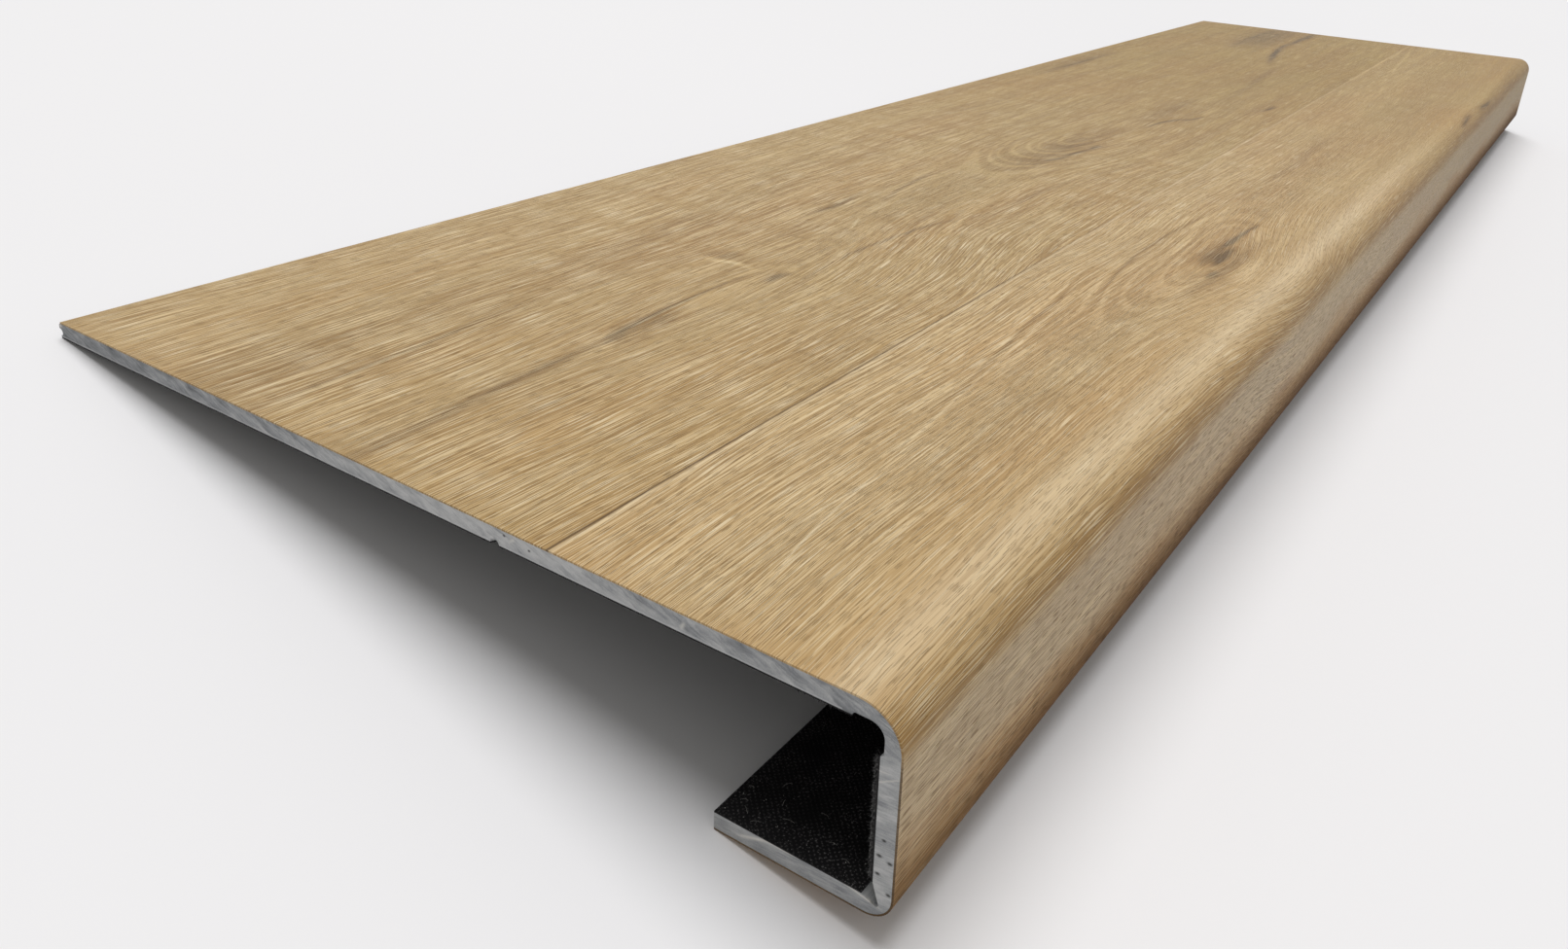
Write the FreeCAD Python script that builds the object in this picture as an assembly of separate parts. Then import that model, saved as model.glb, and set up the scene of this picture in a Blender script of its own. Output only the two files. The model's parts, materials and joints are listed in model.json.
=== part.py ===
"""Stair tread cover, folded from one oak-decor vinyl board with a hooked nose.

A flat tread ends in a rounded nose, a fascia drops from the nose, and a short lip returns under
the tread. The board is milled thinner along its back at both bends, so that it folds there.
The cover lies as it comes to rest when nothing holds it: tipped back onto the lip's rear corner
and the tread's rear edge. X runs along the tread, Y from the nose to the rear, Z up from the floor.
The origin is on the floor, at the middle of the cover's outline.
"""
import FreeCAD, Part
import math
import os

# Overall sizes, millimetres. Depth, height and reach run between the outer faces, extended to
# where they would meet.
tread_length = 1165.0
tread_depth = 304.8
nose_height = 54.8
lip_reach = 46.7

# Layers of the board, from the walking surface inwards
decor_thickness = 0.5
core_thickness = 4.6
backing_thickness = 0.4

# Bends, degrees and millimetres. The radii are those of the outer face.
nose_bend_degrees = 87.4
nose_radius = 11.0
lip_fold_degrees = 91.8
fold_radius = 7.0

# Round-bottomed groove milled into the back at the nose: what it leaves of the board at mid-bend,
# the radius of its floor once bent, and how far it runs on past the bend
nose_web = 3.2
nose_back_radius = 3.8
nose_groove_run = 0.3

# V-groove milled into the back at the lower fold: the same sizes, and how far its mouth reaches
# past the bend on each side
fold_web = 2.2
fold_back_radius = 0.7
fold_mouth_on_fascia = 2.7
fold_mouth_on_lip = 0.6

# Long rear edge: a rounded nub on top, then the board's own edge groove
rear_nub_radius = 1.0
edge_groove_height = 2.4
edge_groove_depth = 1.3
edge_groove_level = 3.4

# Chip in the underside of the sawn end
chip_radius = 1.5
chip_from_nose = 110.5
chip_above_underside = 0.2

board_thickness = decor_thickness + core_thickness + backing_thickness
core_back = decor_thickness + core_thickness
nose_half_bend = math.radians(nose_bend_degrees) / 2.0
nose_floor = nose_web + (nose_radius - nose_web - nose_back_radius) * (1.0 - math.cos(nose_half_bend))
nose_step = core_back - nose_floor


def outward(turned):
    """Unit normal of the outer face after the board has turned by this many degrees."""
    angle = math.radians(turned)
    return FreeCAD.Vector(0.0, -math.sin(angle), math.cos(angle))


def travel(turned):
    """Unit direction in which the board runs on after this turn, from the rear to the lip."""
    angle = math.radians(turned)
    return FreeCAD.Vector(0.0, -math.cos(angle), -math.sin(angle))


class Leg:
    """A flat stretch of the folded board: places are a run along it and a depth into it."""

    def __init__(self, start, turned):
        self.start = start
        self.turned = turned

    def at(self, run, depth):
        return self.start + travel(self.turned) * run - outward(self.turned) * depth


class Bend:
    """A bent stretch: places are a depth below the outer face, at its start, middle or end."""

    def __init__(self, leg, run, radius, angle):
        self.centre = leg.at(run, radius)
        self.radius = radius
        self.first = leg.turned
        self.last = leg.turned + angle

    def at(self, turned, depth):
        return self.centre + outward(turned) * (self.radius - depth)

    def start(self, depth):
        return self.at(self.first, depth)

    def middle(self, depth):
        return self.at((self.first + self.last) / 2.0, depth)

    def end(self, depth):
        return self.at(self.last, depth)

    def back_arc(self, web, radius):
        """Start, middle and end of the tighter arc on the back that leaves this web at mid-bend."""
        halfway = (self.first + self.last) / 2.0
        centre = self.centre + outward(halfway) * (self.radius - web - radius)
        return [centre + outward(turned) * radius for turned in (self.first, halfway, self.last)]


# The folded board, with the tread level: legs and bends from the rear edge to the lip's end
nose_setback = nose_radius * math.tan(nose_half_bend)
fold_setback = fold_radius * math.tan(math.radians(lip_fold_degrees) / 2.0)
tread_run = tread_depth - nose_setback
fascia_run = nose_height - nose_setback - fold_setback
lip_run = lip_reach - fold_setback

tread = Leg(FreeCAD.Vector(-tread_length / 2.0, tread_depth, 0.0), 0.0)
nose = Bend(tread, tread_run, nose_radius, nose_bend_degrees)
fascia = Leg(nose.end(0.0), nose_bend_degrees)
fold = Bend(fascia, fascia_run, fold_radius, lip_fold_degrees)
lip = Leg(fold.end(0.0), nose_bend_degrees + lip_fold_degrees)


def line(start, end):
    return Part.LineSegment(start, end).toShape()


def arc(start, middle, end):
    return Part.Arc(start, middle, end).toShape()


def board_solid(edges):
    """Extrude a closed section along the whole tread."""
    face = Part.Face(Part.Wire(edges))
    return face.extrude(FreeCAD.Vector(tread_length, 0.0, 0.0))


def rounded_corner(leg, run, way):
    """Arc left by the round-nosed cutter, from the groove's floor up to the back of the core."""
    slant = nose_step * math.sqrt(0.5)
    floor = leg.at(run, nose_floor)
    middle = leg.at(run + way * slant, core_back - slant)
    rim = leg.at(run + way * nose_step, core_back)
    return floor, middle, rim


# Where the back's flat stretches stop, as runs along their legs
tread_back_end = tread_run - nose_groove_run - nose_step
fascia_back_start = nose_groove_run + nose_step
fascia_back_end = fascia_run - fold_mouth_on_fascia


def decor_layer():
    """Printed oak film and wear layer, over the whole outer face."""
    top, under = 0.0, decor_thickness
    edges = [
        line(tread.at(rear_nub_radius, top), nose.start(top)),
        arc(nose.start(top), nose.middle(top), nose.end(top)),
        line(nose.end(top), fold.start(top)),
        arc(fold.start(top), fold.middle(top), fold.end(top)),
        line(fold.end(top), lip.at(lip_run, top)),
        line(lip.at(lip_run, top), lip.at(lip_run, under)),
        line(lip.at(lip_run, under), fold.end(under)),
        arc(fold.end(under), fold.middle(under), fold.start(under)),
        line(fold.start(under), nose.end(under)),
        arc(nose.end(under), nose.middle(under), nose.start(under)),
        line(nose.start(under), tread.at(rear_nub_radius, under)),
        line(tread.at(rear_nub_radius, under), tread.at(rear_nub_radius, top)),
    ]
    return board_solid(edges)


def core_outer_edges():
    """Outer side of the core, from the rear nub to the lip's end."""
    depth = decor_thickness
    return [
        line(tread.at(rear_nub_radius, depth), nose.start(depth)),
        arc(nose.start(depth), nose.middle(depth), nose.end(depth)),
        line(nose.end(depth), fold.start(depth)),
        arc(fold.start(depth), fold.middle(depth), fold.end(depth)),
        line(fold.end(depth), lip.at(lip_run, depth)),
    ]


def core_back_edges():
    """Back of the core, from the lip's end to the rear edge, with both milled grooves."""
    floor_low, corner_low, rim_low = rounded_corner(fascia, nose_groove_run, 1.0)
    floor_high, corner_high, rim_high = rounded_corner(tread, tread_run - nose_groove_run, -1.0)
    nose_start, nose_middle, nose_end = nose.back_arc(nose_web, nose_back_radius)
    fold_start, fold_middle, fold_end = fold.back_arc(fold_web, fold_back_radius)
    mouth_on_lip = lip.at(fold_mouth_on_lip, core_back)
    mouth_on_fascia = fascia.at(fascia_back_end, core_back)
    return [
        line(lip.at(lip_run, decor_thickness), lip.at(lip_run, core_back)),
        line(lip.at(lip_run, core_back), mouth_on_lip),
        line(mouth_on_lip, fold_end),
        arc(fold_end, fold_middle, fold_start),
        line(fold_start, mouth_on_fascia),
        line(mouth_on_fascia, rim_low),
        arc(rim_low, corner_low, floor_low),
        line(floor_low, nose_end),
        arc(nose_end, nose_middle, nose_start),
        line(nose_start, floor_high),
        arc(floor_high, corner_high, rim_high),
        line(rim_high, tread.at(0.0, core_back)),
    ]


def rear_edges():
    """Rear end of the core: up past the board's edge groove and round the nub."""
    groove_low = edge_groove_level + edge_groove_height / 2.0
    groove_high = edge_groove_level - edge_groove_height / 2.0
    nub_slant = rear_nub_radius * (1.0 - math.sqrt(0.5))
    nub_start = decor_thickness + rear_nub_radius
    return [
        line(tread.at(0.0, core_back), tread.at(0.0, groove_low)),
        arc(tread.at(0.0, groove_low), tread.at(edge_groove_depth, edge_groove_level),
            tread.at(0.0, groove_high)),
        line(tread.at(0.0, groove_high), tread.at(0.0, nub_start)),
        arc(tread.at(0.0, nub_start), tread.at(nub_slant, decor_thickness + nub_slant),
            tread.at(rear_nub_radius, decor_thickness)),
    ]


def vinyl_core():
    """Grey rigid core, in one piece round both bends."""
    return board_solid(core_outer_edges() + core_back_edges() + rear_edges())


def backing_strip(leg, start, end):
    """Black backing left on the core's back between the grooves."""
    corners = [leg.at(start, core_back), leg.at(end, core_back),
               leg.at(end, board_thickness), leg.at(start, board_thickness)]
    edges = [line(a, b) for a, b in zip(corners, corners[1:] + corners[:1])]
    return board_solid(edges)


def edge_chip():
    """Bite knocked out of the underside where the near end was sawn."""
    return Part.makeSphere(chip_radius, tread.at(tread_depth - chip_from_nose,
                                                 board_thickness - chip_above_underside))


chip = edge_chip()
pieces = {
    "oak_decor_layer": decor_layer(),
    "vinyl_core": vinyl_core().cut(chip),
    "backing_under_tread": backing_strip(tread, 0.0, tread_back_end).cut(chip),
    "backing_behind_nose": backing_strip(fascia, fascia_back_start, fascia_back_end),
    "backing_on_lip": backing_strip(lip, fold_mouth_on_lip, lip_run),
}

# At rest the lip's rear corner and the tread's lower rear edge both touch the floor
lip_corner = lip.at(lip_run, 0.0)
rear_corner = tread.at(0.0, board_thickness)
rest_tilt = math.degrees(math.atan2(rear_corner.z - lip_corner.z, rear_corner.y - lip_corner.y))
tip_back = FreeCAD.Placement(FreeCAD.Vector(), FreeCAD.Rotation(FreeCAD.Vector(1, 0, 0), -rest_tilt))
for shape in pieces.values():
    shape.Placement = tip_back.multiply(shape.Placement)

outline = Part.makeCompound(list(pieces.values())).BoundBox
to_origin = FreeCAD.Vector(0.0, -(outline.YMin + outline.YMax) / 2.0, -outline.ZMin)

os.makedirs("parts", exist_ok=True)
for node, shape in pieces.items():
    shape.translate(to_origin)
    shape.exportStep("parts/" + node + ".step")
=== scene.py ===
"""Looks of a folded stair tread cover: oak print outside, grey vinyl core, black woven backing.

The cover lies tipped back, so most places here are measured on it as if its tread were level:
x from the near sawn end, y back from the corner where tread and fascia would meet, z up from the
tread's face, in millimetres. Blender's own places are in metres.
"""
import bpy
import json
import math
import random
from mathutils import Matrix, Vector


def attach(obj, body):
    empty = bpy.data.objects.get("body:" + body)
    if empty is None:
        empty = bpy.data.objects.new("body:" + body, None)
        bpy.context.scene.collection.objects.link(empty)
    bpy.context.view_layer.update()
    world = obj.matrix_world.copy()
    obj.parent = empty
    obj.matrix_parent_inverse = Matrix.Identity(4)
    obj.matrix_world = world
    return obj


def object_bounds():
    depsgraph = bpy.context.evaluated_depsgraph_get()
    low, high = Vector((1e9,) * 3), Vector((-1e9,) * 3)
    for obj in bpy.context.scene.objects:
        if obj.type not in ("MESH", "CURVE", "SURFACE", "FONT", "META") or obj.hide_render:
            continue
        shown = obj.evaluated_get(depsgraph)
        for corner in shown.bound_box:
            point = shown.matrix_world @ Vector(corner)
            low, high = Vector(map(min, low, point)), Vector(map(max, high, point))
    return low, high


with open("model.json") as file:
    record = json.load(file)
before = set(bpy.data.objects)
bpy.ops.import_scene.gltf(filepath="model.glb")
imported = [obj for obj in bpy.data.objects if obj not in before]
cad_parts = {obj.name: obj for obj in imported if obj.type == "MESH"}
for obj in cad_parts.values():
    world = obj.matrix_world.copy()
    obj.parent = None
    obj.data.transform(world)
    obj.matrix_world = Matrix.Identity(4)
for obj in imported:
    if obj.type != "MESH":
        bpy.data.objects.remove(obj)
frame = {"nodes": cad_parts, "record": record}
cad_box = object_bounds()
record = frame["record"]
mounts = {mount["name"]: mount for mount in record["mounts"]}

MM = 0.001
PHOTO_WIDTH = 1612

# The board, millimetres
DECOR_THICKNESS = 0.5
CORE_THICKNESS = 4.6
BACKING_THICKNESS = 0.4
CORE_BACK = DECOR_THICKNESS + CORE_THICKNESS
BOARD_THICKNESS = CORE_BACK + BACKING_THICKNESS
NOSE_RADIUS = 11.0
FOLD_RADIUS = 7.0

# Camera as measured from the photograph, on the cover with its tread level
CAMERA_PLACE = (-157.45, -72.92, 142.91)
CAMERA_AZIMUTH = 33.293
CAMERA_ELEVATION = -28.354
CAMERA_ROLL = 3.177
CAMERA_FOCAL_PIXELS = 1203.9
SENSOR_WIDTH = 36.0


def paint(red, green, blue):
    """A colour as a screen shows it, from 0 to 255, as the linear colour that a shader takes."""
    linear = []
    for part in (red, green, blue):
        share = part / 255.0
        linear.append(share / 12.92 if share <= 0.04045 else ((share + 0.055) / 1.055) ** 2.4)
    return (*linear, 1.0)


# The board's faces in the frame


class Face:
    """A flat outer face of the board, in the plane across the tread, opposite one of its mounts."""

    def __init__(self, mount_name):
        mount = mounts[mount_name]
        self.normal = -Vector(mount["axis"])
        self.travel = Vector((0.0, -self.normal.z, self.normal.y))
        self.level = self.normal.dot(Vector(mount["pos_m"])) / MM + BOARD_THICKNESS


def meeting(first, second, depth):
    """Point that lies this deep below two outer faces, millimetres."""
    rows = Matrix(((first.normal.y, first.normal.z), (second.normal.y, second.normal.z)))
    y, z = rows.inverted() @ Vector((first.level - depth, second.level - depth))
    return Vector((0.0, y, z))


tread = Face("tread_underside")
fascia = Face("nose_back")
lip = Face("lip_top")

NOSE_TURN = tread.normal.angle(fascia.normal)
FOLD_TURN = fascia.normal.angle(lip.normal)
NOSE_CENTRE = meeting(tread, fascia, NOSE_RADIUS)
FOLD_CENTRE = meeting(fascia, lip, FOLD_RADIUS)
NOSE_CORNER = meeting(tread, fascia, 0.0)
NOSE_START = NOSE_CENTRE + tread.normal * NOSE_RADIUS
NOSE_END = NOSE_CENTRE + fascia.normal * NOSE_RADIUS
FOLD_START = FOLD_CENTRE + fascia.normal * FOLD_RADIUS
FOLD_END = FOLD_CENTRE + lip.normal * FOLD_RADIUS
NOSE_SETBACK = (NOSE_CORNER - NOSE_START).length
FASCIA_RUN = (FOLD_START - NOSE_END).length
NEAR_END = cad_box[0][0] / MM
FAR_END = cad_box[1][0] / MM
TREAD_LENGTH = FAR_END - NEAR_END

# Axes and origin of the level places, in the row frame
LEVEL_BASIS = Matrix(((1, 0, 0), -tread.travel, tread.normal)).transposed()
LEVEL_ORIGIN = Vector((NEAR_END, NOSE_CORNER.y, NOSE_CORNER.z)) * MM


def from_level(x, y, z):
    """Place in the row frame, in metres, of a level place in millimetres."""
    return LEVEL_ORIGIN + LEVEL_BASIS @ Vector((x, y, z)) * MM


# Camera, light and floor


def add_camera():
    """The photograph's camera, turned with the cover."""
    data = bpy.data.cameras.new("photo_camera")
    data.sensor_width = SENSOR_WIDTH
    data.lens = CAMERA_FOCAL_PIXELS / PHOTO_WIDTH * SENSOR_WIDTH
    data.clip_start = 0.01
    data.clip_end = 50.0
    camera = bpy.data.objects.new("photo_camera", data)
    bpy.context.scene.collection.objects.link(camera)
    heading = Matrix.Rotation(math.radians(CAMERA_AZIMUTH - 90.0), 4, "Z")
    pitch = Matrix.Rotation(math.radians(90.0 + CAMERA_ELEVATION), 4, "X")
    roll = Matrix.Rotation(math.radians(CAMERA_ROLL), 4, "Z")
    place = Matrix.Translation(from_level(*CAMERA_PLACE))
    camera.matrix_world = place @ LEVEL_BASIS.to_4x4() @ heading @ pitch @ roll
    bpy.context.scene.camera = camera


WORLD_COLOUR = (1.0, 0.99, 0.96, 1.0)
WORLD_STRENGTH = 0.36
BACKDROP_STRENGTH = 0.86
SUN_COLOUR = (1.0, 1.003, 1.015)
SUN_STRENGTH = 2.05
SUN_ANGLE = 44.0

# Level direction toward the light
SUN_LEAN = (0.12, 0.12, 1.0)

# Half the floor's side, and how far it lies below the cover, in metres
FLOOR_REACH = 12.0
FLOOR_GAP = 0.00005

# Size of the floor's faint patches, millimetres
FLOOR_PATCH = 900.0
FLOOR_DARKER = paint(241, 240, 241)
FLOOR_PALER = paint(245, 244, 245)


def add_world():
    """Even soft light from all round, which the camera and reflections see as a paler backdrop."""
    world = bpy.data.worlds.new("studio")
    world.use_nodes = True
    nodes, links = world.node_tree.nodes, world.node_tree.links
    background = nodes["Background"]
    background.inputs["Color"].default_value = WORLD_COLOUR
    ray = nodes.new("ShaderNodeLightPath")
    seen = ray.outputs["Is Camera Ray"]
    for kind in ("Is Glossy Ray", "Is Transmission Ray"):
        either = nodes.new("ShaderNodeMath")
        links.new(seen, either.inputs[0])
        links.new(ray.outputs[kind], either.inputs[1])
        seen = either.outputs[0]
    strength = nodes.new("ShaderNodeMapRange")
    strength.inputs["To Min"].default_value = WORLD_STRENGTH
    strength.inputs["To Max"].default_value = BACKDROP_STRENGTH
    links.new(seen, strength.inputs["Value"])
    links.new(strength.outputs["Result"], background.inputs["Strength"])
    bpy.context.scene.world = world


def add_light():
    """One wide overhead light, which gives the soft shadow under the cover."""
    data = bpy.data.lights.new("overhead_softbox", "SUN")
    data.energy = SUN_STRENGTH
    data.color = SUN_COLOUR
    data.angle = math.radians(SUN_ANGLE)
    softbox = bpy.data.objects.new("overhead_softbox", data)
    bpy.context.scene.collection.objects.link(softbox)
    toward_light = LEVEL_BASIS @ Vector(SUN_LEAN)
    softbox.rotation_euler = toward_light.to_track_quat("Z", "Y").to_euler()


def mesh_object(name, points, faces):
    """Add an object with this mesh, its points in metres."""
    mesh = bpy.data.meshes.new(name)
    mesh.from_pydata(points, [], faces)
    mesh.validate()
    made = bpy.data.objects.new(name, mesh)
    bpy.context.scene.collection.objects.link(made)
    return made


def add_floor():
    """Pale floor that runs out of sight, just under the cover."""
    sides = ((-1, -1), (1, -1), (1, 1), (-1, 1))
    corners = [(x * FLOOR_REACH, y * FLOOR_REACH, -FLOOR_GAP) for x, y in sides]
    floor = mesh_object("studio_floor", corners, [(0, 1, 2, 3)])
    floor.data.materials.append(floor_material())


# Materials


class Number:
    """A number inside a material, or a triple of them. Arithmetic on it adds Math nodes."""

    def __init__(self, graph, socket):
        self.graph = graph
        self.socket = socket
        self.triple = False

    def __add__(self, other):
        return self.graph.math("ADD", self, other)

    def __radd__(self, other):
        return self.graph.math("ADD", other, self)

    def __sub__(self, other):
        return self.graph.math("SUBTRACT", self, other)

    def __rsub__(self, other):
        return self.graph.math("SUBTRACT", other, self)

    def __mul__(self, other):
        return self.graph.math("MULTIPLY", self, other)

    def __truediv__(self, other):
        return self.graph.math("DIVIDE", self, other)

    def __neg__(self):
        return self.graph.math("MULTIPLY", self, -1.0)

    def __gt__(self, other):
        return self.graph.math("GREATER_THAN", self, other)

    def __lt__(self, other):
        return self.graph.math("LESS_THAN", self, other)


class Graph:
    """A node material in the making."""

    # Sockets of the colour mix, which share their names with those of its other kinds
    MIX_FACTOR, MIX_FIRST, MIX_SECOND, MIX_COLOUR_OUT = 0, 6, 7, 2

    def __init__(self, name):
        self.material = bpy.data.materials.new(name)
        self.material.use_nodes = True
        self.tree = self.material.node_tree
        self.tree.nodes.clear()

    def node(self, kind, settings=None, inputs=None, output=0):
        """Add a node: its settings first, then its inputs, each a value or another node's output."""
        made = self.tree.nodes.new(kind)
        for name, setting in (settings or {}).items():
            if name == "stops":
                self.set_stops(made.color_ramp, setting)
            else:
                setattr(made, name, setting)
        for name, value in (inputs or {}).items():
            if isinstance(value, Number):
                self.tree.links.new(value.socket, made.inputs[name])
            else:
                made.inputs[name].default_value = value
        return Number(self, made.outputs[output]) if len(made.outputs) else made

    def set_stops(self, ramp, stops):
        """Give a colour ramp its stops, each a position and a colour."""
        while len(ramp.elements) < len(stops):
            ramp.elements.new(0.5)
        for element, (position, colour) in zip(ramp.elements, stops):
            element.position = position
            element.color = colour

    def math(self, operation, *values):
        """A Math node, or a Vector Math node if any value is a triple."""
        settings = {"operation": operation}
        if not any(isinstance(value, Vector) or getattr(value, "triple", False) for value in values):
            return self.node("ShaderNodeMath", settings, dict(enumerate(values)))
        triples = [Vector((value,) * 3) if isinstance(value, float) else value for value in values]
        to_one = operation == "DOT_PRODUCT"
        made = self.node("ShaderNodeVectorMath", settings, dict(enumerate(triples)), int(to_one))
        made.triple = not to_one
        return made

    def least(self, first, second):
        return self.math("MINIMUM", first, second)

    def most(self, first, second):
        return self.math("MAXIMUM", first, second)

    def root(self, value):
        return self.math("SQRT", value)

    def bell(self, value):
        """One at zero, falling off smoothly to both sides."""
        return self.math("POWER", 1.0 / math.e, value * value)

    def limit(self, value, low, high):
        return self.node("ShaderNodeClamp", {}, {0: value, 1: low, 2: high})

    def ramp(self, value, low, high, smooth=True):
        """From nought at low to one at high."""
        kind = "SMOOTHSTEP" if smooth else "LINEAR"
        return self.node("ShaderNodeMapRange", {"interpolation_type": kind}, {0: value, 1: low, 2: high})

    def noise(self, x, y, detail, roughness=0.5):
        """Soft noise about nought over a flat place; its grains are one unit across."""
        place = self.node("ShaderNodeCombineXYZ", {}, {0: x, 1: y})
        settings = {"noise_dimensions": "2D"}
        inputs = {"Vector": place, "Scale": 1.0, "Detail": detail, "Roughness": roughness}
        return self.node("ShaderNodeTexNoise", settings, inputs) - 0.5

    def mix(self, share, first, second, blend="MIX"):
        inputs = {self.MIX_FACTOR: share, self.MIX_FIRST: first, self.MIX_SECOND: second}
        settings = {"data_type": "RGBA", "blend_type": blend}
        return self.node("ShaderNodeMix", settings, inputs, self.MIX_COLOUR_OUT)

    def blend(self, share, first, second):
        """From the first number at a share of nought to the second at one."""
        return first + share * (second - first)

    def row_place(self):
        """Place in the row frame, millimetres."""
        place = self.node("ShaderNodeTexCoord", {}, {}, 3)
        place.triple = True
        return place * (1.0 / MM)

    def part(self, triple, axis):
        return self.node("ShaderNodeSeparateXYZ", {}, {0: triple}, axis)

    def reach(self, place, origin, direction):
        """How far a place lies from an origin along a direction."""
        return self.math("DOT_PRODUCT", place, direction) - origin.dot(direction)

    def bump(self, height, distance):
        inputs = {"Strength": 1.0, "Distance": distance * MM, "Height": height}
        return self.node("ShaderNodeBump", {}, inputs)

    def surface(self, colour, roughness, normal=None, settings=None):
        inputs = {"Base Color": colour, "Roughness": roughness}
        if normal is not None:
            inputs["Normal"] = normal
        inputs.update(settings or {})
        shader = self.node("ShaderNodeBsdfPrincipled", {}, inputs)
        self.node("ShaderNodeOutputMaterial", {}, {"Surface": shader})
        return self.material


def floor_material():
    """Even pale studio floor, matt, so that it keeps only the cover's shadow."""
    graph = Graph("pale_floor")
    place = graph.row_place()
    drift = graph.noise(graph.part(place, 0) / FLOOR_PATCH, graph.part(place, 1) / FLOOR_PATCH, 1.0)
    colour = graph.mix(graph.limit(drift + 0.5, 0.0, 1.0), FLOOR_DARKER, FLOOR_PALER)
    return graph.surface(colour, 0.9, None, {"Specular IOR Level": 0.0})


# Places on the board for the materials


def unrolled_place(graph):
    """Along the tread and across it, with the nose, fascia and lip rolled out flat beyond y = 0.

    On the tread y is the level place; it falls below the nose's start round the nose, down the
    fascia and along under the lip.
    """
    place = graph.row_place()
    past_nose = graph.reach(place, NOSE_CENTRE, tread.travel)
    over_nose = graph.reach(place, NOSE_CENTRE, tread.normal)
    nose_angle = graph.math("ARCTAN2", graph.most(past_nose, 0.0), over_nose)
    nose_arc = graph.least(nose_angle, NOSE_TURN) * NOSE_RADIUS
    down_fascia = graph.limit(graph.reach(place, NOSE_END, fascia.travel), 0.0, FASCIA_RUN)
    past_fold = graph.reach(place, FOLD_CENTRE, fascia.travel)
    before_fold = graph.reach(place, FOLD_CENTRE, fascia.normal)
    fold_angle = graph.math("ARCTAN2", graph.most(past_fold, 0.0), before_fold)
    under = past_fold > 0.0
    fold_arc = graph.least(fold_angle, FOLD_TURN) * FOLD_RADIUS
    along_lip = graph.most(graph.reach(place, FOLD_END, lip.travel), 0.0)
    on_tread = graph.least(past_nose, 0.0) * (over_nose > 0.0)
    run = on_tread + nose_arc + down_fascia + under * (fold_arc + along_lip)
    return graph.part(place, 0) - NEAR_END, NOSE_SETBACK - run


def level_cut(graph):
    """Level place within the section: back from the nose corner and up from the tread's face."""
    place = graph.row_place()
    back = graph.reach(place, NOSE_CORNER, -tread.travel)
    up = graph.reach(place, NOSE_CORNER, tread.normal)
    return graph.part(place, 0) - NEAR_END, back, up


# Oak print. Places are on the rolled-out face, millimetres: x along the tread, y across it. The
# shares and widths in this and the other looks were set against the photograph.

# Seam between the two printed planks
SEAM_AT_NEAR_END = 93.2
SEAM_SLOPE = 0.0105
SEAM_HALF_WIDTH = 0.44
SEAM_FADES_FROM = 150.0
SEAM_FADES_BY = 460.0

# Shift between the noise of the two planks, so that they don't repeat each other
PLANK_SHIFT = 37.0

# Knot in the front plank, where its rings close, and its heart across the tread
FRONT_KNOT_X = 332.0
FRONT_HEART_Y = 42.0

RING_SPACING = 4.3

# Down from the nose's start: where the fascia's look begins, and where the painted shade at its foot
# darkens and clears again
FASCIA_BEGINS = (14.0, 21.0)
FOOT_DARKENS = (38.0, 58.0)
FOOT_CLEARS = (84.0, 66.0)

# How deep into each end the sawn film looks brown
FILM_CUT = 0.06

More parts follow.
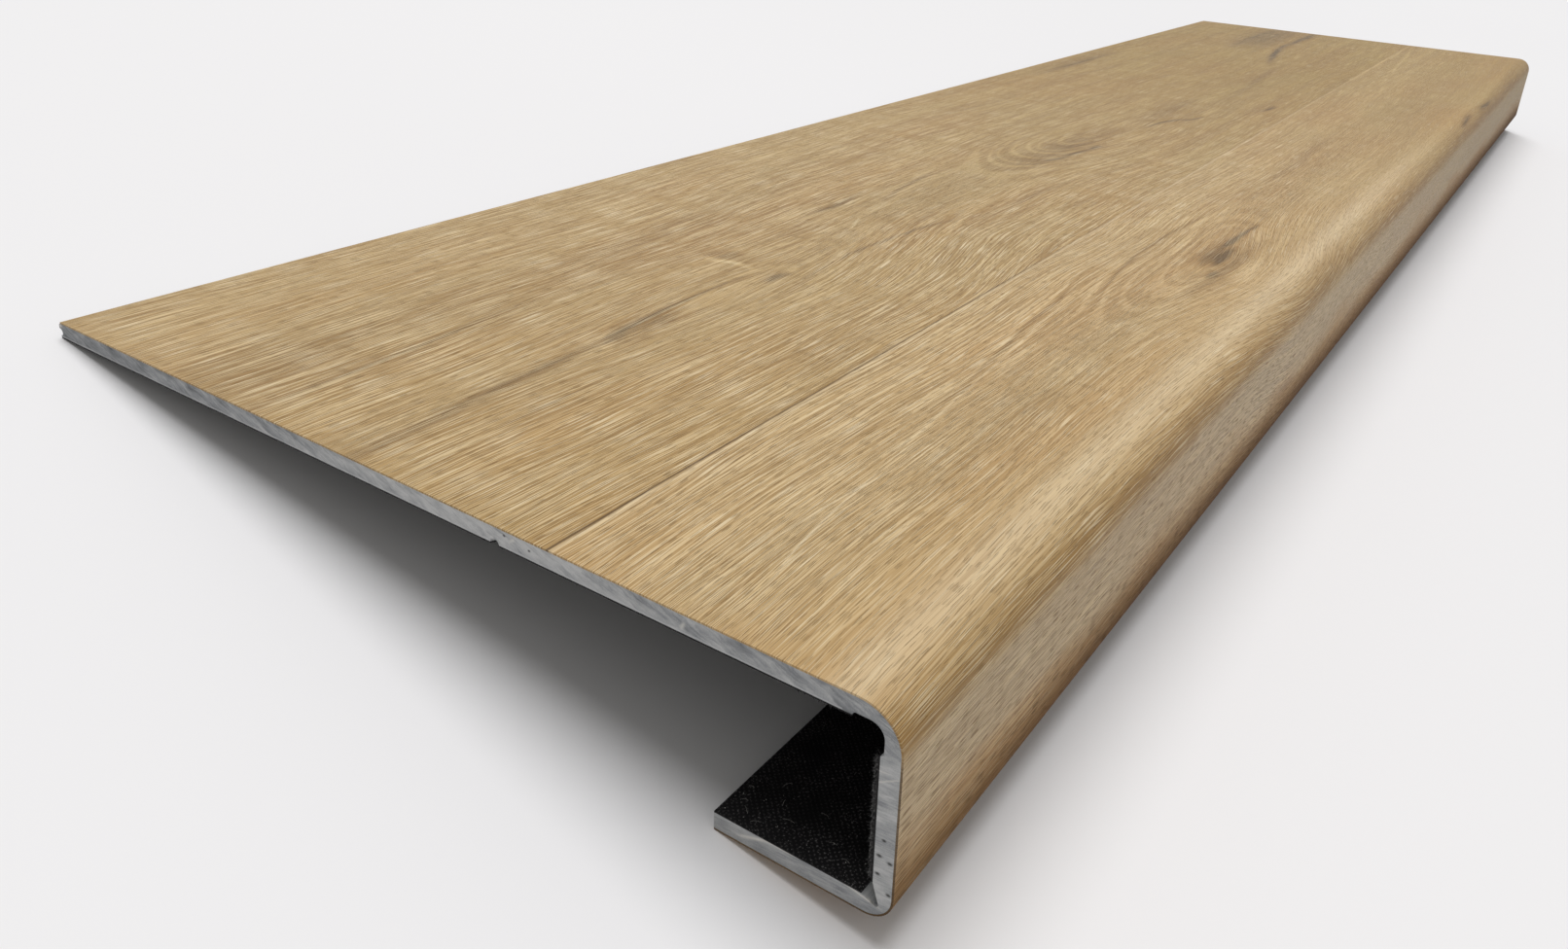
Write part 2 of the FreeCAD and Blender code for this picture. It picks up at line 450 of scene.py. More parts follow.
# Marks of the print: start x, y; end x, y; sag at the middle; half width; strength, pale if negative
MARKS = [
    (-20, 204, 120, 211, 0, 1.3, 0.60),
    (-30, 160, 132, 171, 0, 2.2, 0.75),
    (96, 170, 188, 173, 0, 1.0, 0.90),
    (30, 146, 88, 148, 0, 0.7, 0.80),
    (176, 150, 330, 143, 11, 1.4, 0.80),
    (300, 146, 420, 138, -1, 1.8, 0.40),
    (262, 203, 322, 205, -3, 2.2, 0.85),
    (302, 186, 385, 198, 2, 1.5, 0.80),
    (256, 173, 284, 184, 0, 0.9, -0.90),
    (425, 168, 515, 155, -1, 2.0, 0.75),
    (566, 156, 624, 147, 2, 1.6, 1.05),
    (612, 147, 640, 141, 0, 1.6, 0.90),
    (684, 118, 718, 115, 0, 1.6, 0.70),
    (700, 146, 940, 162, 2, 3.5, 0.40),
    (905, 171, 1060, 193, 2, 3.0, 1.05),
    (1020, 190, 1200, 193, 0, 3.5, 0.95),
    (690, 284, 880, 286, 0, 6.0, 0.65),
    (860, 102, 1180, 103, 0, 1.3, -0.60),
    (960, 84, 1160, 99, 0, 1.3, -0.50),
    (344, 45, 404, 40, 1, 1.4, 1.10),
    (6, 43, 92, 55, 2, 0.5, -0.90),
    (60, 50, 300, 73, 3, 0.6, -0.80),
    (0, 54.5, 104, 48, 4, 0.4, -0.80),
    (10, 31, 90, 34.5, 1, 0.4, -0.70),
    (28, 22, 96, 24.5, 0, 0.4, -0.70),
    (4, 48, 26, 52, 0, 0.4, -0.65),
    (120, 60, 330, 80, 4, 0.6, -0.55),
    (90, 55, 310, 78, 3, 1.0, 0.50),
    (240, 59, 420, 62, 9, 1.0, 0.60),
    (752, 4, 812, 5, 0, 1.8, 0.80),
    (838, 5, 905, 4, 0, 1.8, 0.80),
    (178, 162, 198, 162, 0, 2.0, 1.30),
    (99, 167, 141, 167, 0, 5.0, 0.60),
    (189, 192, 205, 192, 0, 8.0, 0.60),
    (188, 188, 193, 188, 0, 11, -1.10),
    (195, 187, 233, 187, 0, 2.5, -0.45),
    (236, 180, 288, 180, 0, 2.2, -0.50),
    (209, 190, 267, 190, 0, 6.0, 0.30),
    (56, 43, 76, 43, 0, 4.5, -0.35),
    (304, 27, 346, 27, 0, 4.0, -0.50),
    (322, 41, 360, 41, 0, 1.9, 0.90),
    (268, 35, 384, 35, 0, 3.6, 0.50),
    (303, 37, 319, 37, 0, 1.8, 0.60),
    (315, 45, 353, 45, 0, 4.0, 0.45),
    (315, 47, 385, 47, 0, 7.0, 0.28),
    (-76, 226, 116, 226, 0, 22, 0.35),
    (68, 222, 292, 222, 0, 18, 0.25),
    (970, 222, 1210, 222, 0, 20, 0.75),
    (487, 158, 503, 158, 0, 1.6, 0.90),
    (576, 166, 704, 166, 0, 8.0, 0.35),
    (392, 170, 568, 170, 0, 10, 0.45),
    (697, 117, 723, 117, 0, 2.0, 0.50),
    (44, 38, 236, 38, 0, 8.0, 0.20),
    (480, 62, 640, 62, 0, 3.0, 0.40),
]
MARKS_AT_ONCE = 3

# The print's tones, and where each lies between dark and pale
OAK_TONES = [
    (0.05, paint(94, 71, 34)),
    (0.33, paint(161, 130, 85)),
    (0.54, paint(190, 160, 113)),
    (0.78, paint(214, 188, 145)),
    (1.0, paint(236, 219, 186)),
]
FIBRE_PALE = paint(230, 207, 164)
FIBRE_BROWN = paint(147, 116, 72)
# Printed pores, and painted shadow in the embossed pits
PIT_BROWN_AND_SHADOW = paint(116, 90, 56)
# Painted highlight on the embossed ridges, partly print
RIDGE_PALE_AND_HIGHLIGHT = paint(238, 220, 184)
SEAM_DARK = paint(84, 60, 28)
SEAM_PALE = paint(228, 208, 172)
# Print, and a painted highlight on the nose's crest
CREST_PALE_AND_HIGHLIGHT = paint(236, 216, 180)
# Painted sheen that greys the fascia
FASCIA_SHEEN_GREY = paint(210, 195, 170)
FILM_CUT_BROWN = paint(86, 70, 52)

# Tints, which multiply the colour
REDDER = paint(246, 231, 212)
DEEPER = paint(204, 197, 148)
# Olive print, and painted shade on the nose's bend
OLIVE_AND_SHADE = paint(210, 192, 146)
FAR_FASCIA = paint(226, 220, 207)
LOWER_HALF = paint(236, 208, 164)
# Painted shade at the foot of the fascia
FOOT_SHADE = paint(122, 97, 60)


def add_marks(graph, x, y):
    """Sum of the marks: dark above nought, pale below. A triple carries three marks at a time."""
    total = None
    for first in range(0, len(MARKS), MARKS_AT_ONCE):
        columns = zip(*MARKS[first:first + MARKS_AT_ONCE])
        x0, y0, x1, y1, sag, width, strength = (Vector(column) for column in columns)
        share = (x - (x0 + x1) / 2.0) / ((x1 - x0) / 2.0)
        fade = graph.most(1.0 - share * share, 0.0)
        centre = share * ((y1 - y0) / 2.0) + fade * sag + (y0 + y1) / 2.0
        mark = graph.math("DOT_PRODUCT", graph.bell((y - centre) / width) * fade, strength)
        total = mark if total is None else total + mark
    return total


def bend_grain(graph, x, y, plank):
    """How far the grain wanders sideways, from broad to fine, and the place across it after that."""
    broad = graph.noise(x / 260.0 + plank, y / 80.0, 1.0)
    small = graph.noise(x / 70.0 + plank, y / 15.0, 1.0)
    ripple = graph.noise(x / 11.0 + plank, y / 2.4, 1.0)
    return broad, small, ripple, y + broad * 12.0 + small * 2.6


def growth_rings(graph, x, bent, rear):
    """Distance from the tree's heart, and the place across the grain that flows round the knots.

    The distance is what the rings follow: they close round a knot, where the gap below is small,
    and open into arcs where the gap shrinks for good.
    """
    front_heart = 50.0 - graph.bell((x - FRONT_KNOT_X) / 60.0) * 7.0
    rear_heart = 168.0 + graph.ramp(x, 190.0, 320.0) * 9.0 - graph.ramp(x, 430.0, 560.0) * 5.0
    front_gap = graph.root(1.003 - graph.bell((x - FRONT_KNOT_X) / 105.0)) * 27.0
    swirl = graph.bell((x - 158.0) / 68.0) * 16.0
    rear_gap = 20.0 - swirl + graph.ramp(x, 200.0, 330.0) * 13.0 - graph.ramp(x, 388.0, 520.0) * 28.0
    gap = graph.blend(rear, front_gap, rear_gap)
    side = bent - graph.blend(rear, front_heart, rear_heart)
    distance = graph.root(side * side + gap * gap)
    flow = distance * side / graph.root(side * side + gap * gap * 0.30 + 18.0)
    return distance, flow


def figure_share(graph, x, y):
    """Where the rings stand out: round both knots and in the arcs past the rear one."""
    front_knot = graph.bell((x - 310.0) / 120.0) * graph.bell((y - 58.0) / 26.0)
    rear_arcs = graph.bell((x - 448.0) / 78.0) * graph.bell((y - 178.0) / 32.0)
    rear_swirl = graph.bell((x - 185.0) / 120.0) * graph.bell((y - 170.0) / 26.0)
    return graph.limit(front_knot + rear_arcs + rear_swirl * 0.7, 0.0, 1.0)


class OakGrain:
    """A place in the oak print, and how the grain runs there."""

    def __init__(self, graph):
        x, y = unrolled_place(graph)
        seam = x * SEAM_SLOPE + SEAM_AT_NEAR_END
        self.x = x
        self.y = y
        self.beside_seam = y - seam
        self.rear = y > seam
        self.plank = self.rear * PLANK_SHIFT
        self.broad, self.small, self.ripple, bent = bend_grain(graph, x, y, self.plank)
        self.rings, self.flow = growth_rings(graph, x, bent, self.rear)
        self.uneven = graph.noise(x / 90.0 + 5.0, self.rings / 7.0, 1.0)
        self.figure = figure_share(graph, x, y)
        self.heart = graph.bell((x - FRONT_KNOT_X - 2.0) / 30.0) * graph.bell((y - FRONT_HEART_Y) / 9.0)
        self.drop = NOSE_SETBACK - y
        self.on_fascia = graph.ramp(self.drop, *FASCIA_BEGINS)
        # Where shade is painted round the lower fold
        self.foot_shade = graph.ramp(self.drop, *FOOT_DARKENS) * graph.ramp(self.drop, *FOOT_CLEARS)

        # Fine grain fades along the tread, in the knot's heart and over the nose
        self.calm = 1.0 - graph.bell((self.drop + 6.0) / 22.0) * 0.35
        closeness = graph.ramp(x, 800.0, 200.0)
        self.shown = (closeness * 0.6 + 0.4) * (1.0 - self.heart * 0.6) * self.calm


def print_tone(graph, grain):
    """How pale the print is, from broad bands to growth rings, less its marks."""
    x, y, plank = grain.x, grain.y, grain.plank
    bands = graph.noise((grain.rings + plank * 7.0) / 9.0, x / 700.0 + grain.flow / 60.0, 1.0)
    banding = graph.ramp(x, 200.0, 700.0) * 0.10 + grain.rear * 0.09 + 0.08
    stripes = graph.noise(grain.flow / 2.2 + plank, x / 240.0, 2.0, 0.9) * grain.calm
    ring_waves = graph.math("SINE", grain.rings * (2.0 * math.pi / RING_SPACING) + grain.uneven * 9.0)
    ring_share = (grain.uneven + 0.6) * grain.figure * (1.0 - grain.heart)
    ring_lines = graph.ramp(ring_waves, -0.2, 1.0) * ring_share
    patches = graph.noise(x / 120.0 + plank, y / 22.0 + 9.0, 1.0)
    marks = add_marks(graph, x + grain.small * 10.0, y + grain.small * 5.0 + grain.broad * 2.0)
    tone = 0.505 + bands * banding + stripes * 0.23 + ring_lines * 0.34 - grain.figure * 0.06
    return tone + patches * 0.09 - marks * 0.44


def drift_hue(graph, grain, colour):
    """Between straw and a redder brown, and deeper toward the far end."""
    drift = graph.noise(grain.x / 150.0, grain.y / 34.0 + grain.plank, 1.0)
    colour = graph.mix(graph.limit(drift * 1.5 + 0.25, 0.0, 0.6), colour, REDDER, "MULTIPLY")
    deeper = graph.ramp(grain.x, 100.0, 1150.0) * 0.75 + grain.rear * 0.36 + grain.on_fascia * 0.08
    return graph.mix(deeper, colour, DEEPER, "MULTIPLY")


def tint_fascia(graph, grain, colour):
    """Pale on the crest of the nose, partly print and partly a painted highlight; olive past it, partly
    print and partly painted shade on the bend; greyer below as a painted sheen; duller far away and
    browner low down.
    """
    # Painted highlight along the crest, partly print
    crest_highlight = graph.bell((grain.drop + 2.0) / 6.0) * graph.ramp(grain.x, 760.0, 400.0)
    colour = graph.mix(crest_highlight * 0.42, colour, CREST_PALE_AND_HIGHLIGHT)
    # Painted shade on the bend, partly olive print
    olive_and_shade = graph.bell((grain.drop + grain.small * 5.0 - 12.5) / 4.4)
    colour = graph.mix(olive_and_shade * 0.85, colour, OLIVE_AND_SHADE, "MULTIPLY")
    # Painted sheen greying the fascia
    colour = graph.mix(grain.on_fascia * 0.38, colour, FASCIA_SHEEN_GREY)
    far_fascia = grain.on_fascia * graph.ramp(grain.x, 450.0, 1150.0, False)
    colour = graph.mix(far_fascia, colour, FAR_FASCIA, "MULTIPLY")
    lower_half = graph.ramp(grain.drop + grain.small * 16.0, 32.0, 48.0)
    return graph.mix(lower_half, colour, LOWER_HALF, "MULTIPLY")


def oak_fibres(graph, grain):
    """Long thin lines along the grain: pale above nought, brown below."""
    across = grain.flow + grain.ripple * 0.12
    coarse = graph.noise(grain.x / 85.0 + grain.plank, across / 0.80, 1.0, 0.9)
    fine = graph.noise(grain.x / 40.0 + grain.plank, across / 0.36 + 70.0, 0.0)
    return coarse * (0.85 - grain.rear * 0.20) + fine * 1.2


def oak_pores(graph, grain):
    """Embossed dashes along the grain: dark pits, and the pale ridges beside them."""
    across = grain.flow + grain.ripple * 0.25
    pits = graph.noise(grain.x / 6.0 + grain.plank, across / 0.32, 0.0)
    ridges = graph.noise(grain.x / 22.0 + grain.plank, across / 0.36 + 40.0, 0.0)
    thinning = graph.noise(grain.x / 25.0, grain.y / 9.0 + grain.plank, 1.0) * 0.05
    pit = graph.ramp(thinning + grain.on_fascia * 0.05 - pits, 0.17, 0.27)
    return pit, graph.ramp(ridges - thinning, 0.14, 0.28)


def draw_seam(graph, grain, colour):
    """The dark line of the seam, broken and fading, with a pale line in front of it."""
    broken = graph.limit(grain.uneven * 1.6 + 0.85, 0.4, 1.0)
    shown = graph.ramp(grain.x, SEAM_FADES_BY, SEAM_FADES_FROM) * broken
    line = graph.bell(grain.beside_seam / SEAM_HALF_WIDTH)
    colour = graph.mix(line * (shown * 0.85 + 0.08), colour, SEAM_DARK)
    pale_line = graph.bell((grain.beside_seam + 1.1) / 0.55)
    pale_shown = graph.ramp(grain.x, 900.0, 400.0) * 0.28 + 0.12
    return line, graph.mix(pale_line * pale_shown, colour, SEAM_PALE)


def oak_decor():
    """Printed oak under a matt wear layer."""
    graph = Graph("oak_decor")
    grain = OakGrain(graph)
    colour = graph.node("ShaderNodeValToRGB", {"stops": OAK_TONES}, {0: print_tone(graph, grain)})
    colour = drift_hue(graph, grain, colour)
    colour = tint_fascia(graph, grain, colour)

    # Fibres, fainter where the rings stand out
    fibres = oak_fibres(graph, grain)
    pale_fibre = graph.ramp(fibres, 0.0, 0.26)
    brown_fibre = graph.ramp(-fibres, 0.0, 0.28)
    off_nose = graph.ramp(grain.y, 15.0, 45.0)
    fibre_share = off_nose * 0.15 - grain.figure * graph.blend(grain.rear, 0.22, 0.18) + 0.45
    fibre_shown = fibre_share * grain.shown
    colour = graph.mix(pale_fibre * fibre_shown, colour, FIBRE_PALE)
    colour = graph.mix(brown_fibre * fibre_shown, colour, FIBRE_BROWN)

    # Pits and ridges of the embossing, likewise: their colours are partly print and partly painted shadow
    # and highlight of the relief
    pit, ridge = oak_pores(graph, grain)
    pore_shown = (1.0 - grain.figure * graph.blend(grain.rear, 0.4, 0.3)) * grain.shown
    colour = graph.mix(pit * (grain.on_fascia * 0.20 + 0.45) * pore_shown, colour, PIT_BROWN_AND_SHADOW)
    colour = graph.mix(ridge * (0.57 - grain.on_fascia * 0.32) * pore_shown, colour, RIDGE_PALE_AND_HIGHLIGHT)

    # Painted shade round the lower fold, less so near the saw cut
    foot_shade_shown = grain.foot_shade * (graph.ramp(grain.x, -60.0, 160.0) * 0.35 + 0.65)
    colour = graph.mix(foot_shade_shown, colour, FOOT_SHADE, "MULTIPLY")

    seam_line, colour = draw_seam(graph, grain, colour)

    # Sawn edge of the film
    at_cut = (grain.x < FILM_CUT) + (grain.x > TREAD_LENGTH - FILM_CUT)
    colour = graph.mix(at_cut * (grain.on_fascia * 0.75 + 0.10), colour, FILM_CUT_BROWN)

    height = ridge * 0.6 - pit * 0.9 + pale_fibre * 0.35 - brown_fibre * 0.3 - seam_line * 0.6
    roughness = 0.47 + fibres * 0.15 + pit * 0.12 + grain.foot_shade * 0.35
    return graph.surface(colour, roughness, graph.bump(height, 0.10), {"Specular IOR Level": 0.18})


# Grey core

# Pits in the near sawn end: level y, z, and radius
PITS = [(2.3, -36.9, 0.55), (-0.3, -37.7, 0.5), (2.2, -41.9, 0.45), (1.6, -32.4, 0.4), (-0.8, -46.3, 0.5),
        (2.4, -50.6, 0.55), (107.0, -1.6, 0.35), (99.0, -2.6, 0.3)]

# Light scratches and burrs on the near sawn end, and a painted highlight on the rear nub (the last): start
# y, z; end y, z; half width; strength
SCRATCHES_AND_HIGHLIGHT = [
    (6.0, -19.4, -0.6, -15.1, 0.22, 0.60),
    (5.4, -15.6, 2.2, -15.2, 0.25, 0.45),
    (37.1, -52.9, 29.0, -49.9, 0.45, 0.80),
    (29.5, -50.2, 22.0, -50.0, 0.30, 0.60),
    (9.0, -49.8, 0.6, -51.2, 0.28, 0.75),
    (105.4, -2.6, 103.6, -1.5, 0.40, 0.70),
    (54.4, -4.2, 53.4, -2.2, 0.50, 0.60),
    # Painted highlight on the lit end of the rear nub
    (303.0, -0.9, 304.6, -1.4, 0.45, 0.90),
]

# How deep into the near end the pits and scratches show
CORE_CUT = 0.5

# Level heights over which the tread's end gives way to the fascia's, and that to the lip's
FASCIA_BELOW = (-8.0, -12.0)
LIP_BELOW = (-48.5, -50.5)

# The saw's slanting lines on the tread's end: a direction across them, level y and z
ACROSS_LINES = (0.37, -0.93)

CORE_TONES = [(0.1, paint(80, 83, 86)), (0.5, paint(140, 142, 144)), (0.9, paint(190, 190, 189))]
SCRATCH_AND_HIGHLIGHT_PALE = paint(214, 210, 203)
BURR_PALE = paint(192, 192, 194)
PIT_DARK = paint(46, 47, 44)


def scratch_and_highlight_share(graph, y, z):
    """Sum of the light scratches and the painted nub highlight at this place on the cut."""
    total = None
    for y0, z0, y1, z1, width, strength in SCRATCHES_AND_HIGHLIGHT:
        run = Vector((y1 - y0, z1 - z0))
        length = run.length
        run.normalize()
        along = (y - y0) * run.x + (z - z0) * run.y
        across = (z - z0) * run.x - (y - y0) * run.y
        share = along * (2.0 / length) - 1.0
        mark = graph.bell(across / width) * graph.bell(share * share) * strength
        total = mark if total is None else total + mark
    return total


def pit_share(graph, y, z):
    """Sum of the round pits at this place on the cut; each is a little wider than high."""
    total = None
    for pit_y, pit_z, radius in PITS:
        along = (y - pit_y) / radius
        across = (z - pit_z) / (radius * 0.7)
        pit = graph.math("EXPONENT", -(along * along + across * across))
        total = pit if total is None else total + pit
    return total


def vinyl_core():
    """Sawn grey core, with slanting saw lines on the tread's end and level ones on the fascia's."""
    graph = Graph("vinyl_core")
    x, back, up = level_cut(graph)
    below = graph.ramp(up, *FASCIA_BELOW)
    on_lip = graph.ramp(up, *LIP_BELOW)

    cloud = graph.noise(back / 8.0 + x / 30.0, up / 3.5, 3.0, 0.6)
    grain = graph.noise(back / 0.35, up / 0.35 + x / 0.4, 2.0, 0.6)
    slant = back * ACROSS_LINES[0] + up * ACROSS_LINES[1] + cloud * 2.5
    cross = up * ACROSS_LINES[0] - back * ACROSS_LINES[1]
    facets = graph.noise(slant / 2.2, cross / 14.0 + 5.0, 3.0, 0.7)
    saw_lines = graph.noise(slant / 0.4, cross / 8.0, 2.0, 0.6)
    tooth_lines = graph.noise(up / 0.45 + back * 0.25, back / 7.0 + 11.0, 2.0, 0.65)
    saw_steps = graph.noise(up / 6.0 + back * 0.04, 3.5, 1.0)
    on_fascia = tooth_lines * 0.45 + facets * 0.25 + saw_steps * 0.50
    marks = graph.blend(below, facets * 0.85 + saw_lines * 0.35, on_fascia)

    # Paler in the middle of the tread's end and darker toward the rear
    middle = graph.bell((back - 112.0) / 66.0) * 0.30 - graph.ramp(back, 205.0, 290.0) * 0.12
    # The lip's end is darkened as painted shade
    tone = 0.50 + cloud * 0.55 + marks + grain * 0.22 + below * 0.19 - on_lip * 0.19 + middle
    colour = graph.node("ShaderNodeValToRGB", {"stops": CORE_TONES}, {0: tone})

    at_near_cut = x < CORE_CUT
    # Pale scratches, and the painted highlight on the rear nub
    scratches_and_highlight = graph.limit(scratch_and_highlight_share(graph, back, up) * at_near_cut, 0.0, 1.0)
    colour = graph.mix(scratches_and_highlight, colour, SCRATCH_AND_HIGHLIGHT_PALE)

    # Pale burr along the tread's lower edge
    under_edge = graph.bell((up + CORE_BACK - 0.2 + facets * 0.8) / 0.22) * (back > 14.0) * at_near_cut
    colour = graph.mix(under_edge * 0.6, colour, BURR_PALE)

    hollow = graph.limit(pit_share(graph, back, up) * 1.5 * at_near_cut, 0.0, 1.0)
    colour = graph.mix(hollow * 0.9, colour, PIT_DARK)

    height = marks * 1.2 + grain * 0.5 - hollow * 2.0 + scratches_and_highlight * 0.8
    return graph.surface(colour, 0.62 + grain * 0.2, graph.bump(height, 0.16), {"Specular IOR Level": 0.4})


# Black backing

WEAVE_PITCH = 1.6
WEAVE_WAVE = 2.0 * math.pi / WEAVE_PITCH

BACKING_BLACK = paint(5, 5, 6)
BACKING_WORN = paint(22, 21, 22)
KNOT_GREY = paint(74, 72, 73)
DUST_GREY = paint(128, 126, 126)


def backing():
    """Black backing with grey knots in a fine weave, dustier near the saw cut."""
    graph = Graph("backing")
    x, back, up = level_cut(graph)
    along_strip = back - up
    wave_x = graph.math("SINE", x * WEAVE_WAVE)
    wave_y = graph.math("SINE", along_strip * WEAVE_WAVE)
    knots = graph.ramp(wave_x * wave_y, 0.35, 0.95)
    wear = graph.noise(x / 9.0, along_strip / 9.0, 2.0, 0.6)
    specks = graph.noise(x / 0.6, along_strip / 0.6, 1.0)
    dust = graph.ramp(specks + wear * 0.25, 0.21, 0.27)
    near = graph.ramp(x, 120.0, 0.0)
    base = graph.mix(graph.limit(wear + 0.5, 0.0, 1.0), BACKING_BLACK, BACKING_WORN)
    shown = graph.limit(wear * 2.5 + 0.6, 0.0, 1.0) * (near * 0.6 + 0.4)
    colour = graph.mix(knots * shown, base, KNOT_GREY)
    colour = graph.mix(dust * (near * 0.5 + 0.2), colour, DUST_GREY)
    return graph.surface(colour, 0.62, graph.bump(knots + wear * 0.4, 0.2), {"Specular IOR Level": 0.18})


def torn_finish(name, darkest, lightest):
    """Uneven dull finish of the shreds that a saw leaves."""
    graph = Graph(name)
    x, back, up = level_cut(graph)
    grain = graph.noise(back / 0.5, up / 0.5 + x, 2.0)
    colour = graph.mix(graph.limit(grain * 2.0 + 0.5, 0.0, 1.0), darkest, lightest)
    return graph.surface(colour, 0.75)


def dress_nodes():
    """Give each piece the finish of its slot in the record."""
    finishes = {"oak_decor": oak_decor(), "vinyl_core": vinyl_core(), "backing": backing()}
    for subpart in record["subparts"]:
        for slot in frame["nodes"][subpart["node"]].material_slots:
            slot.material = finishes[subpart["material_slot"]]


# Torn backing at the near sawn end, crumbs in it, and lint and flecks on the lip

# How far inside the plane of the saw cut the shreds stay, millimetres
INSIDE_CUT = 0.02

# Torn threads: how deep they are rooted, and the shortest, millimetres
ROOT_DEPTH = 0.1
SHORTEST_THREAD = 0.12

# The corners of a thread's section as turns round it, and those of a crumb with its faces
THREE_TURNS = [corner * 2.0 * math.pi / 3.0 for corner in range(3)]
CRUMB_CORNERS = [(1, 1, 1), (-1, -1, 1), (-1, 1, -1), (1, -1, -1)]
CRUMB_FACES = [(0, 2, 1), (0, 1, 3), (0, 3, 2), (1, 2, 3)]


class Shreds:
    """Many small pointed pieces gathered into one mesh."""

    def __init__(self):
        self.points = []
        self.faces = []

    def add_point(self, place):
        """Add a point, moved if need be so that it stays inside the saw cut."""
        self.points.append(Vector((max(place.x, INSIDE_CUT), place.y, place.z)))

    def add_spike(self, root, tip, width):
        """Three-sided spike from round its root to a point."""
        along = (tip - root).normalized()
        side = along.orthogonal().normalized()
        other = along.cross(side)
        first = len(self.points)
        for turn in THREE_TURNS:
            self.add_point(root + (side * math.cos(turn) + other * math.sin(turn)) * width)
        self.add_point(tip)
        self.faces.append((first + 2, first + 1, first))
        self.faces.extend((first + corner, first + (corner + 1) % 3, first + 3) for corner in range(3))

    def add_crumb(self, centre, size):
        """Uneven four-sided crumb."""
        first = len(self.points)
        for direction in CRUMB_CORNERS:
            self.add_point(centre + Vector(direction) * size * random.uniform(0.3, 0.8))
        for corners in CRUMB_FACES:
            self.faces.append(tuple(first + corner for corner in corners))

    def add_hair(self, places, width):
        """Thin three-sided thread through these places."""
        first = len(self.points)
        for place in places:
            for turn in THREE_TURNS:
                self.add_point(place + Vector((0.0, math.cos(turn), math.sin(turn))) * width)
        for step in range(len(places) - 1):
            low = first + step * 3
            for corner in range(3):
                after = (corner + 1) % 3
                self.faces.append((low + corner, low + after, low + 3 + after, low + 3 + corner))

    def build(self, name, finish):
        """Make the mesh, give it its finish, and attach it to the body it rides on."""
        shreds = mesh_object(name, [from_level(*point) for point in self.points], self.faces)
        shreds.data.materials.append(finish)
        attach(shreds, "root")


def level_direction(direction):
    """A direction across the tread, in the row frame, as a level one."""
    return Vector((0.0, direction.dot(-tread.travel), direction.dot(tread.normal)))


class Leg:
    """Back of a flat stretch of the board, in level places: a run along it and a height off it."""

    def __init__(self, face, start):
        offset = start - NOSE_CORNER
        self.start = level_direction(offset)
        self.travel = level_direction(face.travel)
        self.inward = -level_direction(face.normal)

    def at(self, x, run, height):
        """Place this high off the back, into the hook."""
        off_face = self.inward * (BOARD_THICKNESS + height)
        return Vector((x, 0.0, 0.0)) + self.start + self.travel * run + off_face


fascia_back = Leg(fascia, NOSE_END)
lip_back = Leg(lip, FOLD_END)
tread_back = Leg(tread, NOSE_START)

# Shape of a hair, millimetres: thickness, steps, height of its ends, and rise and bow of its middle
HAIR_WIDTH = 0.045
HAIR_STEPS = 8
HAIR_HEIGHT = 0.03
HAIR_RISE = 0.35
HAIR_BOW = Vector((0.3, 0.2, 0.0))

# Hairs on the lip: start x, run; end x, run
HAIRS = [(7.3, 25.7, 7.8, 22.8), (6.8, 36.6, 7.2, 35.2), (13.9, 19.6, 13.9, 17.7), (7.6, 13.5, 7.9, 11.6),
         (11.2, 37.9, 11.4, 36.5), (5.5, 34.9, 3.9, 33.0), (5.3, 8.7, 5.1, 6.6), (2.2, 31.0, 3.4, 29.2),
         (10.5, 28.0, 12.6, 28.6), (16.0, 31.5, 17.8, 30.4)]

# Flecks on the lip: x, run, size
FLECKS = [(7.1, 3.8, 0.25), (9.9, 32.1, 0.22), (13.4, 29.7, 0.20), (8.4, 37.4, 0.25), (14.0, 36.8, 0.22),
          (9.3, 32.3, 0.18), (7.8, 12.3, 0.22), (2.2, 38.0, 0.25), (4.7, 25.2, 0.20), (4.8, 7.4, 0.22),
          (2.4, 33.0, 0.20), (3.9, 16.9, 0.20)]


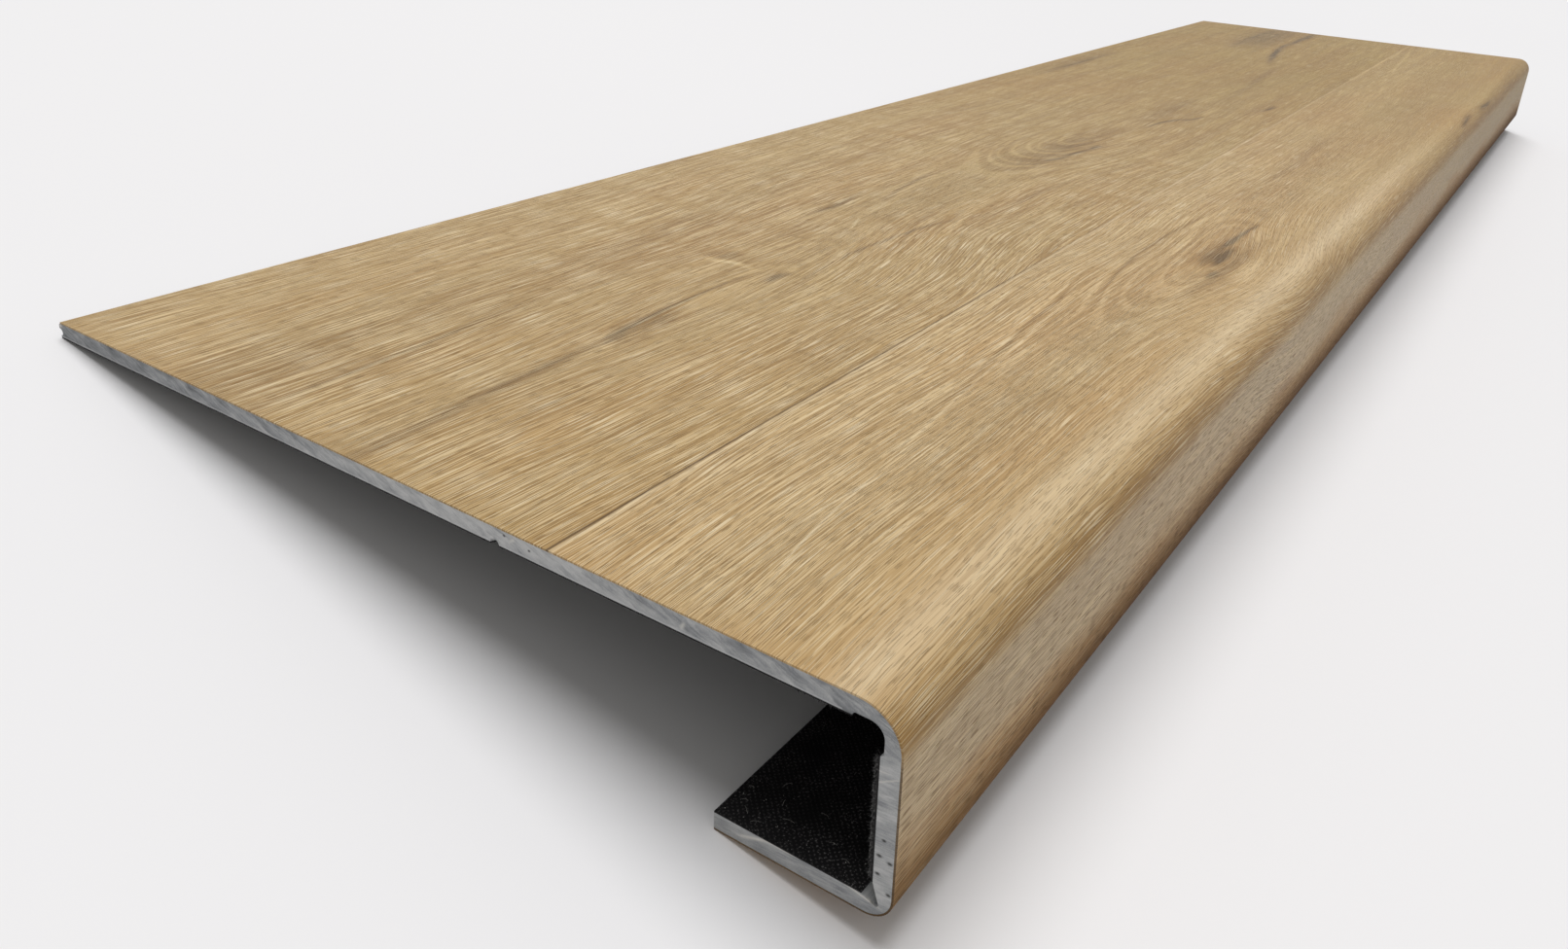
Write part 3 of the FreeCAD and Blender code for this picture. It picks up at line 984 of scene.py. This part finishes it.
def fray_edge(shreds, leg, runs, count, longest, thickest):
    """Add torn threads that stand off the backing's edge at the saw cut, most of them short."""
    for _ in range(count):
        run = random.uniform(*runs)
        root = leg.at(random.uniform(0.3, 1.6), run, -ROOT_DEPTH)
        length = longest * random.random() ** 2 + SHORTEST_THREAD
        lean = Vector((random.uniform(-0.1, 0.5), 0.0, 0.0)) + leg.travel * random.uniform(-0.9, 0.9)
        tip = root + (leg.inward + lean).normalized() * length
        shreds.add_spike(root, tip, random.uniform(0.4, 1.0) * thickest)


def add_shreds():
    """Threads and crumbs along the three torn edges, and the dust on the lip."""
    random.seed(20)
    black = torn_finish("torn_backing", paint(8, 8, 9), paint(44, 43, 43))
    grey = torn_finish("backing_with_swarf", paint(26, 26, 27), paint(100, 99, 98))
    pale = torn_finish("vinyl_swarf", paint(120, 119, 117), paint(196, 194, 190))

    on_fascia = Shreds()
    fray_edge(on_fascia, fascia_back, (2.2, 34.0), count=1500, longest=2.4, thickest=0.16)
    for _ in range(400):
        x = random.uniform(0.4, 1.6)
        run = random.uniform(2.5, 34.0)
        place = fascia_back.at(x, run, random.uniform(0.0, 1.1))
        on_fascia.add_crumb(place, random.uniform(0.15, 0.5))
    on_fascia.build("torn_backing_behind_nose", grey)

    on_tread = Shreds()
    fray_edge(on_tread, tread_back, (-292.0, -4.0), count=1500, longest=0.9, thickest=0.15)
    fray_edge(on_tread, tread_back, (-16.0, -4.0), count=160, longest=1.8, thickest=0.20)
    on_tread.build("torn_backing_under_tread", black)

    on_lip = Shreds()
    fray_edge(on_lip, lip_back, (1.0, 39.0), count=420, longest=0.55, thickest=0.12)
    on_lip.build("torn_backing_on_lip", black)

    dust = Shreds()
    for x0, run0, x1, run1 in HAIRS:
        start = lip_back.at(x0, run0, HAIR_HEIGHT)
        end = lip_back.at(x1, run1, HAIR_HEIGHT)
        middle = (start + end) / 2.0 + lip_back.inward * HAIR_RISE + HAIR_BOW
        places = []
        for step in range(HAIR_STEPS + 1):
            share = step / HAIR_STEPS
            places.append(start.lerp(middle, share).lerp(middle.lerp(end, share), share))
        dust.add_hair(places, HAIR_WIDTH)
    for x, run, size in FLECKS:
        dust.add_crumb(lip_back.at(x, run, size * 0.3), size)
    dust.build("dust_on_lip", pale)


bpy.context.scene.view_settings.view_transform = "Standard"
add_camera()
add_world()
add_light()
add_floor()
dress_nodes()
add_shreds()
